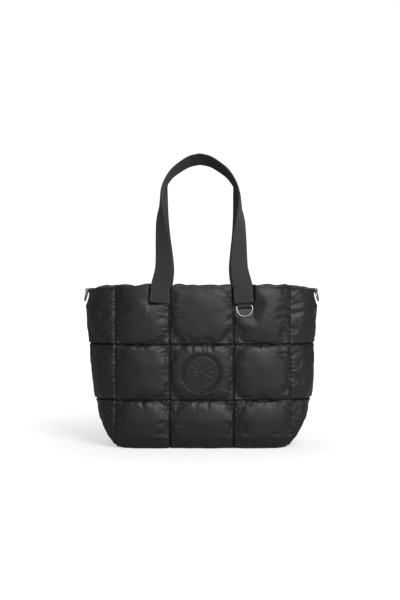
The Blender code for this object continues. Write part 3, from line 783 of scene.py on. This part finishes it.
def right_half(table, side):
    # Stations of a handle's right half: the turned-under end, the fold, the tab and the twisted leg.
    fold_out = 0.5 * (UNDER_LAYER + TOP_LAYER)
    fold_radius = 0.5 * (TOP_LAYER - UNDER_LAYER)
    fold_up = up_at(TAB_LOW) + fold_radius + 0.5 * STRAP_THICKNESS
    points = [tab_point(fold_up + share * TURNED_END, UNDER_LAYER, side) for share in (1.0, 0.66, 0.33)]
    for turn in range(0, 181, 20):
        angle = math.radians(turn)
        up = fold_up - fold_radius * math.sin(angle)
        points.append(tab_point(up, fold_out - fold_radius * math.cos(angle), side))
    for share in (0.2, 0.4, 0.6, 0.8):
        points.append(tab_point(fold_up + share * (up_at(TAB_TOP) - fold_up), TOP_LAYER, side))
    stations = [(point, TAB_ACROSS) for point in points]
    start = tab_point(up_at(TAB_TOP), TOP_LAYER, side)
    route = smooth_rows(table)
    centres = []
    for rise, spread_out, lean, _, _ in route:
        y = start.y - side * lean * HANDLE_LEAN
        centres.append(Vector((spread_out * start.x, y, start.z + rise * HANDLE_RISE)))
    for i, (_, _, _, turn, fall) in enumerate(route):
        turn, fall = math.radians(turn), math.radians(fall)
        tangent = Vector((-1.0, 0.0, 0.0))
        if i < len(centres) - 1:
            tangent = (centres[i + 1] - centres[max(i - 1, 0)]).normalized()
        inwards = Vector((0.0, -side * math.cos(fall), -math.sin(fall)))
        guide = math.cos(turn) * Vector((1.0, 0.0, 0.0)) + math.sin(turn) * inwards
        stations.append((centres[i], (guide - guide.dot(tangent) * tangent).normalized()))
    return stations


def handle_stations(table, side, sway):
    right = right_half(table, side)
    flip = Matrix.Diagonal((-1.0, 1.0, 1.0))
    left = [(flip @ centre, flip @ across) for centre, across in right[:-1]]
    stations = left + right[::-1]
    for centre, _ in stations:
        share = max(0.0, (centre.z - TAB_TOP) / HANDLE_RISE)
        centre.x += sway * share**2 * (3.0 - 2.0 * share)
    return stations


def add_strap(name, node, stations, width, thickness, edge, material):
    # Webbing is laid along its stations as a flat grid, given its thickness, and rounded at its edges.
    bpy.ops.object.select_all(action="DESELECT")
    bpy.ops.mesh.primitive_grid_add(
        x_subdivisions=STRAP_COLUMNS, y_subdivisions=len(stations) - 1, size=1.0, calc_uvs=True
    )
    strap = bpy.context.object
    strap.name = name
    strap.data.name = name
    runs = [0.0]
    for (a, _), (b, _) in zip(stations, stations[1:]):
        runs.append(runs[-1] + (b - a).length)
    fabric_uv = strap.data.uv_layers.active.data
    for corner, loop in zip(fabric_uv, strap.data.loops):
        station = round(corner.uv.y * (len(stations) - 1))
        corner.uv = ((corner.uv.x - 0.5) * width, runs[station])
    for point in strap.data.vertices:
        centre, across = stations[round((point.co.y + 0.5) * (len(stations) - 1))]
        point.co = centre + point.co.x * width * across
    wall = strap.modifiers.new("webbing", "SOLIDIFY")
    wall.thickness = thickness
    wall.offset = 0.0
    wall.use_even_offset = True
    bpy.ops.object.modifier_apply(modifier="webbing")
    rounding = strap.modifiers.new("selvedge", "BEVEL")
    rounding.width = edge
    rounding.segments = 3
    rounding.limit_method = "ANGLE"
    rounding.angle_limit = math.radians(60.0)
    bpy.ops.object.modifier_apply(modifier="selvedge")
    bpy.ops.object.shade_smooth_by_angle(angle=math.radians(40.0))
    strap.data.materials.append(material)
    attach(strap, "bag")
    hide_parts(node)


dark, pale = (0.020, 0.020, 0.021), (0.036, 0.036, 0.037)
ribs, grain = (0.0016, 0.55), (700.0, 0.30, 0.0004)
webbing, shader = add_material("webbing", (dark, pale), (0.78, 0.90), 420.0, ribs, grain)
shader.inputs["Specular IOR Level"].default_value = 0.30
shader.inputs["Sheen Weight"].default_value = 0.08
shader.inputs["Sheen Roughness"].default_value = 0.5
front_route = handle_stations(FRONT_HANDLE, FRONT, FRONT_SWAY)
back_route = handle_stations(BACK_HANDLE, BACK, BACK_SWAY)
SELVEDGE = 0.0009
add_strap("front_handle", "handle_front", front_route, STRAP_WIDTH, STRAP_THICKNESS, SELVEDGE, webbing)
add_strap("back_handle", "handle_back", back_route, STRAP_WIDTH, STRAP_THICKNESS, SELVEDGE, webbing)


# Stitching of the tabs: a box of dark grey thread that holds each end of the handles down.

NO_WEAVE = (0.0004, 0.0)
STITCH_LENGTH = 0.0026
STITCH_PITCH = 0.0034
THREAD_RADIUS = 0.00032
STITCH_SIDES = 6
BOX_LOW, BOX_HIGH = 0.0042, 0.0300
BOX_HALF_WIDTH = 0.0160


def add_stitches(name, runs, material):
    # Short rounded stitches along straight runs. Each run is a start, an end and the way that it faces.
    shape = bmesh.new()
    for start, end, face in runs:
        heading = (end - start).normalized()
        beside = heading.cross(face)
        count = max(1, round((end - start).length / STITCH_PITCH))
        for i in range(count):
            middle = start.lerp(end, (i + 0.5) / count)
            rings = []
            for share, size in ((-0.5, 0.35), (-0.36, 0.9), (0.0, 1.15), (0.36, 0.9), (0.5, 0.35)):
                ring = []
                for k in range(STITCH_SIDES):
                    angle = 2.0 * math.pi * k / STITCH_SIDES
                    off = THREAD_RADIUS * size * (math.cos(angle) * beside + math.sin(angle) * face)
                    ring.append(shape.verts.new(middle + share * STITCH_LENGTH * heading + off))
                rings.append(ring)
            for a, b in zip(rings, rings[1:]):
                for k in range(STITCH_SIDES):
                    shape.faces.new((a[k], b[k], b[(k + 1) % STITCH_SIDES], a[(k + 1) % STITCH_SIDES]))
            shape.faces.new(rings[0])
            shape.faces.new(rings[-1][::-1])
    bmesh.ops.recalc_face_normals(shape, faces=shape.faces)
    mesh = bpy.data.meshes.new(name)
    shape.to_mesh(mesh)
    shape.free()
    mesh.shade_smooth()
    stitches = add_object(name, mesh)
    mesh.materials.append(material)
    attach(stitches, "bag")


dark, pale = (0.055, 0.055, 0.056), (0.080, 0.080, 0.081)
thread, shader = add_material("thread", (dark, pale), (0.60, 0.75), 300.0, NO_WEAVE, (2400.0, 0.4, 0.0002))
for side_name, side in (("front", FRONT), ("back", BACK)):
    boxes = []
    out = TOP_LAYER + 0.5 * STRAP_THICKNESS + 0.3 * THREAD_RADIUS
    low, high = up_at(TAB_LOW) + BOX_LOW, up_at(TAB_LOW) + BOX_HIGH
    for hand in (-1, 1):
        corners = []
        for up, across in ((low, -1), (low, 1), (high, 1), (high, -1)):
            corner = tab_point(up, out, side) + across * BOX_HALF_WIDTH * TAB_ACROSS
            corners.append(Vector((hand * corner.x, corner.y, corner.z)))
        facing = Vector((0.0, side, 0.0))
        boxes += [(a, b, facing) for a, b in zip(corners, corners[1:] + corners[:1])]
    add_stitches(side_name + "_tab_stitches", boxes, thread)


# Loops that hold the D-rings: thin webbing, folded round the straight bar of each ring. The front one
# comes out from under the right tab, and the side ones go over the rim at the side seams.

SIDE_LOOP_WIDTH = 0.020
LOOP_TAIL = 0.018
LOOP_STAND_OFF = 0.001
LOOP_BEND = 0.0015
LOOP_RISE = 0.004
LOOP_TUCK = 0.003
RIM_BULGE = 0.003
LOOP_EDGE = 0.0004
SIDE_RIM_Z = BODY_HEIGHT - END_DIP
SIDE_BAR_Z = SIDE_RIM_Z - 0.0035
SIDE_BAR_X = half_width(SIDE_BAR_Z) + RIM_BULGE + GAP + LOOP_RADIUS + 0.5 * LOOP_THICKNESS


def arc(centre, radius, start, end, steps):
    points = []
    for step in range(steps + 1):
        angle = math.radians(start + (end - start) * step / steps)
        points.append((centre[0] + radius * math.cos(angle), centre[1] + radius * math.sin(angle)))
    return points


def front_loop_stations():
    # Out and up from the panel: down behind the tab, round the bar and back up.
    bar_up = up_at(FRONT_BAR_Z)
    tail_up = up_at(TAB_LOW) + LOOP_TAIL
    path = [(LOOP_UNDER_LAYER, tail_up), (LOOP_UNDER_LAYER, up_at(TAB_LOW))]
    path += arc((FRONT_BAR_OUT, bar_up), LOOP_RADIUS, 180, 360, 18)
    lift = FRONT_BAR_OUT + LOOP_RADIUS - LOOP_TOP_LAYER
    path += [(LOOP_TOP_LAYER + 0.5 * lift, bar_up + LOOP_RISE), (LOOP_TOP_LAYER, up_at(TAB_LOW) + LOOP_TUCK)]
    path += [(LOOP_TOP_LAYER, tail_up)]
    return [(tab_point(up, out, FRONT), TAB_ACROSS) for out, up in path]


def side_loop_stations(hand):
    # Up inside the bag, over the rim at the side seam, round the bar and back to the rim.
    half = 0.5 * LOOP_THICKNESS
    wall = half_width(SIDE_RIM_Z) - SEAM_WALL - RIM_BULGE - GAP - half
    inside = wall - LOOP_STAND_OFF
    over = SIDE_RIM_Z + GAP + half
    top = over + LOOP_THICKNESS + GAP
    near, far = SIDE_BAR_X - LOOP_RADIUS, SIDE_BAR_X + LOOP_RADIUS
    path = [(inside, SIDE_RIM_Z - LOOP_TAIL), (inside, SIDE_RIM_Z - LOOP_BEND), (wall + LOOP_STAND_OFF, over)]
    path += [(near - LOOP_BEND, over), (near, over - LOOP_BEND)]
    path += arc((SIDE_BAR_X, SIDE_BAR_Z), LOOP_RADIUS, 180, 360, 18)
    path += [(far - 0.5 * LOOP_BEND, over - 0.3 * LOOP_BEND), (near + 0.7 * LOOP_BEND, top)]
    path += [(wall + 2.0 * LOOP_BEND, top)]
    return [(Vector((hand * x, 0.0, z)), Vector((0.0, 1.0, 0.0))) for x, z in path]


route = front_loop_stations()
add_strap("front_loop", "ring_loop_front", route, FRONT_LOOP_WIDTH, LOOP_THICKNESS, LOOP_EDGE, webbing)
for hand_name, hand in (("left", -1), ("right", 1)):
    route = side_loop_stations(hand)
    node = "side_loop_" + hand_name
    add_strap(hand_name + "_loop", node, route, SIDE_LOOP_WIDTH, LOOP_THICKNESS, LOOP_EDGE, webbing)


# D-rings: round steel wire bent to a D, with the straight bar in the loop, and polished.

SIDE_RING_LEAN = math.radians(13.0)
RING_CORNER = 0.0025
RING_STEPS = 48
CORNER_STEPS = 8


def add_ring(name, node, body, bar, turn, material):
    centre = -(RING_DROP - RING_HALF_WIDTH)
    inner = RING_HALF_WIDTH - RING_CORNER
    points = arc((inner, -RING_CORNER), RING_CORNER, 90, 0, CORNER_STEPS)
    points += arc((0.0, centre), RING_HALF_WIDTH, 0, -180, RING_STEPS)
    points += arc((-inner, -RING_CORNER), RING_CORNER, 180, 90, CORNER_STEPS)
    curve = bpy.data.curves.new(name, "CURVE")
    curve.dimensions = "3D"
    curve.bevel_depth = WIRE_RADIUS
    curve.bevel_resolution = 5
    line = curve.splines.new("POLY")
    line.points.add(len(points) - 1)
    for point, (x, z) in zip(line.points, points):
        point.co = (x, 0.0, z, 1.0)
    line.use_cyclic_u = True
    line.use_smooth = True
    ring = add_object(name, curve)
    ring.location = bar
    ring.rotation_euler = turn
    bpy.ops.object.convert(target="MESH")
    bpy.ops.object.transform_apply(location=True, rotation=True, scale=True)
    ring = bpy.context.object
    ring.name = name
    ring.data.materials.append(material)
    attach(ring, body)
    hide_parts(node)


dark, pale = (0.27, 0.27, 0.28), (0.38, 0.38, 0.39)
steel, shader = add_material("steel", (dark, pale), (0.34, 0.46), 260.0, NO_WEAVE, (900.0, 0.10, 0.0003))
shader.inputs["Metallic"].default_value = 1.0
front_bar = tab_point(up_at(FRONT_BAR_Z), FRONT_BAR_OUT, FRONT)
add_ring("front_d_ring", "ring_front", "front_ring", front_bar, (-FRONT_RING_LEAN, -TAB_SLANT, 0.0), steel)
for hand_name, hand in (("left", -1), ("right", 1)):
    side_bar = Vector((hand * SIDE_BAR_X, 0.0, SIDE_BAR_Z))
    turn = (-SIDE_RING_LEAN, 0.0, hand * 0.5 * math.pi)
    add_ring(hand_name + "_d_ring", "side_ring_" + hand_name, hand_name + "_ring", side_bar, turn, steel)


# Patch: a moulded disc sewn to the middle puff, with a raised rim and a groove inside it, round a
# rosette of petals and dots.

PATCH_THICKNESS = 0.003
RIM_INNER = 0.0340
GROOVE_OUTER = 0.0335
GROOVE_INNER = 0.0318
FACE = 0.0021
GROOVE_DEPTH = 0.0009
PETALS = 12
PETAL_START, PETAL_END = 0.0055, 0.0262
PETAL_HEIGHT = 0.00045
DOT_RING, DOT_RADIUS = 0.0278, 0.0014
HUB_RADIUS = 0.0042
PETAL_WIDTH, PETAL_TAPER, PETAL_SOFTNESS = 0.9, 0.8, 0.28
PETAL_HOLLOW = 0.3
DOT_HEIGHT, HUB_HEIGHT = 0.8 * PETAL_HEIGHT, 1.2 * PETAL_HEIGHT
GROOVE_RUN, RIM_RUN_UP = 0.0007, 0.0008
EDGE_ROUND, EDGE_DROP = 0.0009, 0.0012

# The radii of its rings: even over the face, and closer over the groove and the raised rim
FACE_RINGS = [0.0002 + 0.0006 * i for i in range(53)]
GROOVE_RINGS = [0.0322, 0.0327, 0.0333, 0.0337, 0.0341]
RAISED_RINGS = [0.0345, 0.0350, 0.0356, 0.0362, 0.0367, 0.0371, 0.0374, 0.0375]
PATCH_TURNS = 240


def eased(value, start, end):
    share = min(1.0, max(0.0, (value - start) / (end - start)))
    return share * share * (3.0 - 2.0 * share)


def patch_height(radius, angle):
    if radius > GROOVE_OUTER:
        rise = eased(radius, GROOVE_OUTER, RIM_INNER + RIM_RUN_UP)
        drop = eased(radius, PATCH_RADIUS - EDGE_ROUND, PATCH_RADIUS)
        return FACE - GROOVE_DEPTH + rise * (PATCH_THICKNESS - FACE + GROOVE_DEPTH) - EDGE_DROP * drop
    if radius > GROOVE_INNER:
        return FACE - GROOVE_DEPTH * eased(radius, GROOVE_INNER, GROOVE_INNER + GROOVE_RUN)
    height = FACE
    share = (radius - PETAL_START) / (PETAL_END - PETAL_START)
    if 0.0 < share < 1.0:
        width = PETAL_WIDTH * math.sin(math.pi * share**PETAL_TAPER)
        off = abs(math.sin(0.5 * PETALS * angle))
        hollow = 1.0 - PETAL_HOLLOW * (1.0 - off)
        height += PETAL_HEIGHT * eased(width - off, 0.0, PETAL_SOFTNESS) * hollow
    nearest = (math.floor(PETALS * angle / (2.0 * math.pi)) + 0.5) * 2.0 * math.pi / PETALS
    across = radius * math.cos(angle) - DOT_RING * math.cos(nearest)
    up = radius * math.sin(angle) - DOT_RING * math.sin(nearest)
    height += DOT_HEIGHT * math.sqrt(max(0.0, 1.0 - (math.hypot(across, up) / DOT_RADIUS) ** 2))
    height += HUB_HEIGHT * math.sqrt(max(0.0, 1.0 - (radius / HUB_RADIUS) ** 2))
    return height


shape = bmesh.new()
hub = shape.verts.new((0.0, 0.0, patch_height(0.0, 0.0)))
rings = []
for radius in FACE_RINGS + GROOVE_RINGS + RAISED_RINGS:
    ring = []
    for k in range(PATCH_TURNS):
        angle = 2.0 * math.pi * k / PATCH_TURNS
        height = patch_height(radius, angle)
        ring.append(shape.verts.new((radius * math.cos(angle), radius * math.sin(angle), height)))
    rings.append(ring)
rings.append([shape.verts.new((point.co.x, point.co.y, 0.0)) for point in rings[-1]])
for k in range(PATCH_TURNS):
    following = (k + 1) % PATCH_TURNS
    shape.faces.new((hub, rings[0][k], rings[0][following]))
    for a, b in zip(rings, rings[1:]):
        shape.faces.new((a[k], b[k], b[following], a[following]))
shape.faces.new(rings[-1])
bmesh.ops.recalc_face_normals(shape, faces=shape.faces)
lean = math.atan2(half_depth(patch_high) - half_depth(patch_low), 2.0 * PATCH_RADIUS)
seat = 0.5 * (half_depth(patch_low) + half_depth(patch_high)) + PATCH_SEAT + GAP
placing = Matrix.Translation((0.0, -seat, PATCH_Z)) @ Matrix.Rotation(0.5 * math.pi + lean, 4, "X")
bmesh.ops.transform(shape, matrix=placing, verts=shape.verts)
mesh = bpy.data.meshes.new("moulded_patch")
shape.to_mesh(mesh)
shape.free()
patch = add_object("moulded_patch", mesh)
bpy.ops.object.shade_smooth_by_angle(angle=math.radians(40.0))
dark, pale = (0.0056, 0.0056, 0.0059), (0.0084, 0.0084, 0.0087)
moulded, shader = add_material("moulded", (dark, pale), (0.46, 0.60), 90.0, NO_WEAVE, (1100.0, 0.35, 0.0004))
shader.inputs["Specular IOR Level"].default_value = 0.40
mesh.materials.append(moulded)
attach(patch, "bag")
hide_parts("patch")


# Bottom of the bag: a flat padded panel, sewn in between the front and the back.

BASE_STEPS, BASE_LANES = 72, 24
BASE_LENGTH, BASE_WIDTH = 0.342, 0.118
BASE_LIFT = 0.0004
BASE_EDGE = 0.0030
BASE_CROWN = 0.0070
BASE_PRESSURE = 3.0
BASE_MOST_OUT = 0.003
BASE_SPARE = 0.02
BASE_SKIN = 0.0008
BASE_SLOPE = 12.0

bpy.ops.object.select_all(action="DESELECT")
bpy.ops.mesh.primitive_grid_add(x_subdivisions=BASE_STEPS, y_subdivisions=BASE_LANES, size=1.0, calc_uvs=True)
base = bpy.context.object
base.name = "base_pad"
base.data.name = "base_pad"
pad_uv = base.data.uv_layers.active.data
for corner in pad_uv:
    corner.uv = ((corner.uv.x - 0.5) * BASE_LENGTH, (corner.uv.y - 0.5) * BASE_WIDTH)
wall = base.modifiers.new("pad", "SOLIDIFY")
wall.thickness = 1.0
wall.offset = 0.0
bpy.ops.object.modifier_apply(modifier="pad")
held = []
for point in base.data.vertices:
    column, lane = 6.0 * point.co.x, 2.0 * point.co.y
    here = plan(column, 0.0) - (SEAM_WALL + GAP) * outward(column, 0.0)
    edge = min(1.0 - abs(column) / 3.0, 1.0 - abs(lane))
    crown = math.sqrt(min(1.0, max(0.0, BASE_SLOPE * edge)))
    if edge < 0.001:
        held.append(point.index)
    if point.co.z > 0.0:
        z = BASE_EDGE + BASE_SKIN + (BASE_CROWN - BASE_EDGE) * crown
    else:
        z = BASE_LIFT + (BASE_EDGE - BASE_LIFT) * (1.0 - crown)
    point.co = (here.x, here.y * lane, z)
base.vertex_groups.new(name="sewn").add(held, 1.0, "REPLACE")
base.data.shade_smooth()
fill_cloth(base, BASE_PRESSURE, BASE_SPARE, BASE_MOST_OUT)
for point in base.data.vertices:
    point.co.z = max(point.co.z, BASE_LIFT)
base.vertex_groups.clear()
base.data.materials.append(nylon)
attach(base, "bag")
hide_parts("base_panel")


# Camera, floor and lights of a plain studio: paper, a large soft light at the upper right and little else,
# so that the left of each puff falls into shade. The paper is grey and glows to the camera only. This glow is
# painted light that makes the paper read white and lightens the shadow on it. The glow is weaker near the
# bag, a painted shade round it.

CAMERA_PLACE = (-0.0033, -2.19, 0.326)
CAMERA_FALL = 0.88
CAMERA_LENS, CAMERA_SENSOR = 64.6, 36.0
PAPER_TONE = 0.45
# The paper's painted glow near the bag and far from it, and the distances over which it rises. The weaker
# glow near the bag is painted shade.
PAPER_PAINTED_GLOW = (0.56, 0.97)
PAPER_PAINTED_SHADE_REACH = (0.25, 1.0)
KEY_PLACE = (0.74, -1.80, 1.40)
KEY_SIZE = 0.9
KEY_ENERGY = 41.0
KEY_AIM = (0.0, 0.0, 0.2)
SOFTBOX = (0.42, -0.80, 0.48)
SOFTBOX_STRENGTH, SOFTBOX_FOCUS = 1.34, 5.0
ROOM_STRENGTH = 0.05
BACKLIGHT = (-0.15, 0.45, 0.85)
BACK_STRENGTH, BACK_FOCUS = 0.9, 3.0
WHITE_SEEN = 1.1

bpy.ops.object.camera_add(location=CAMERA_PLACE, rotation=(math.radians(90.0 - CAMERA_FALL), 0.0, 0.0))
camera = bpy.context.object
camera.name = "camera"
camera.data.lens = CAMERA_LENS
camera.data.sensor_width = CAMERA_SENSOR
bpy.context.scene.camera = camera

bpy.ops.object.select_all(action="DESELECT")
bpy.ops.mesh.primitive_plane_add(size=40.0, location=(0.0, 0.0, 0.0))
floor = bpy.context.object
floor.name = "studio_floor"
paper = bpy.data.materials.new("studio_paper")
paper.use_nodes = True
paper_shader = paper.node_tree.nodes["Principled BSDF"]
paper_shader.inputs["Base Color"].default_value = (PAPER_TONE, PAPER_TONE, PAPER_TONE, 1.0)
paper_shader.inputs["Roughness"].default_value = 0.9
paper_shader.inputs["Emission Color"].default_value = (1.0, 1.0, 1.0, 1.0)
place = paper.node_tree.nodes.new("ShaderNodeTexCoord").outputs["Object"]
far = add_node(paper.node_tree, "ShaderNodeVectorMath", [("operation", "LENGTH")], links=[("Vector", place)])
# Painted shade: the paper's glow is weaker near the bag and rises with distance from the middle.
painted_shade_pool = add_node(
    paper.node_tree,
    "ShaderNodeMapRange",
    values=[
        ("From Min", PAPER_PAINTED_SHADE_REACH[0]),
        ("From Max", PAPER_PAINTED_SHADE_REACH[1]),
        ("To Min", PAPER_PAINTED_GLOW[0]),
        ("To Max", PAPER_PAINTED_GLOW[1]),
    ],
    links=[("Value", far.outputs["Value"])],
)
# The glow is painted light, seen by the camera only. It whitens the paper and lightens the shadow on it.
seen = paper.node_tree.nodes.new("ShaderNodeLightPath").outputs["Is Camera Ray"]
painted_glow = add_math(paper.node_tree, "MULTIPLY", seen, painted_shade_pool.outputs["Result"])
paper.node_tree.links.new(painted_glow, paper_shader.inputs["Emission Strength"])
floor.data.materials.append(paper)
floor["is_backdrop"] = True

bpy.ops.object.light_add(type="AREA", location=KEY_PLACE)
key = bpy.context.object
key.data.shape = "SQUARE"
key.data.size = KEY_SIZE
key.data.energy = KEY_ENERGY
aim = Vector(KEY_AIM) - Vector(KEY_PLACE)
key.rotation_euler = aim.to_track_quat("-Z", "Y").to_euler()

world = bpy.data.worlds.new("studio")
world.use_nodes = True
bpy.context.scene.world = world
sky = world.node_tree
heading = sky.nodes.new("ShaderNodeTexCoord").outputs["Generated"]
facing = add_node(sky, "ShaderNodeVectorMath", [("operation", "DOT_PRODUCT")], links=[("Vector", heading)])
facing.inputs[1].default_value = Vector(SOFTBOX).normalized()
lit = add_math(sky, "POWER", add_math(sky, "MAXIMUM", facing.outputs["Value"], 0.0), SOFTBOX_FOCUS)
away = add_node(sky, "ShaderNodeVectorMath", [("operation", "DOT_PRODUCT")], links=[("Vector", heading)])
away.inputs[1].default_value = Vector(BACKLIGHT).normalized()
behind = add_math(sky, "POWER", add_math(sky, "MAXIMUM", away.outputs["Value"], 0.0), BACK_FOCUS)
behind = add_math(sky, "MULTIPLY", behind, BACK_STRENGTH)
strength = add_math(sky, "ADD", add_math(sky, "MULTIPLY", lit, SOFTBOX_STRENGTH), ROOM_STRENGTH)
strength = add_math(sky, "ADD", strength, behind)
seen = sky.nodes.new("ShaderNodeLightPath").outputs["Is Camera Ray"]
strength = add_math(sky, "MAXIMUM", strength, add_math(sky, "MULTIPLY", seen, WHITE_SEEN))
background = sky.nodes["Background"]
background.inputs["Color"].default_value = (1.0, 1.0, 1.0, 1.0)
sky.links.new(strength, background.inputs["Strength"])
bpy.context.scene.view_settings.view_transform = "Standard"

low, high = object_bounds()
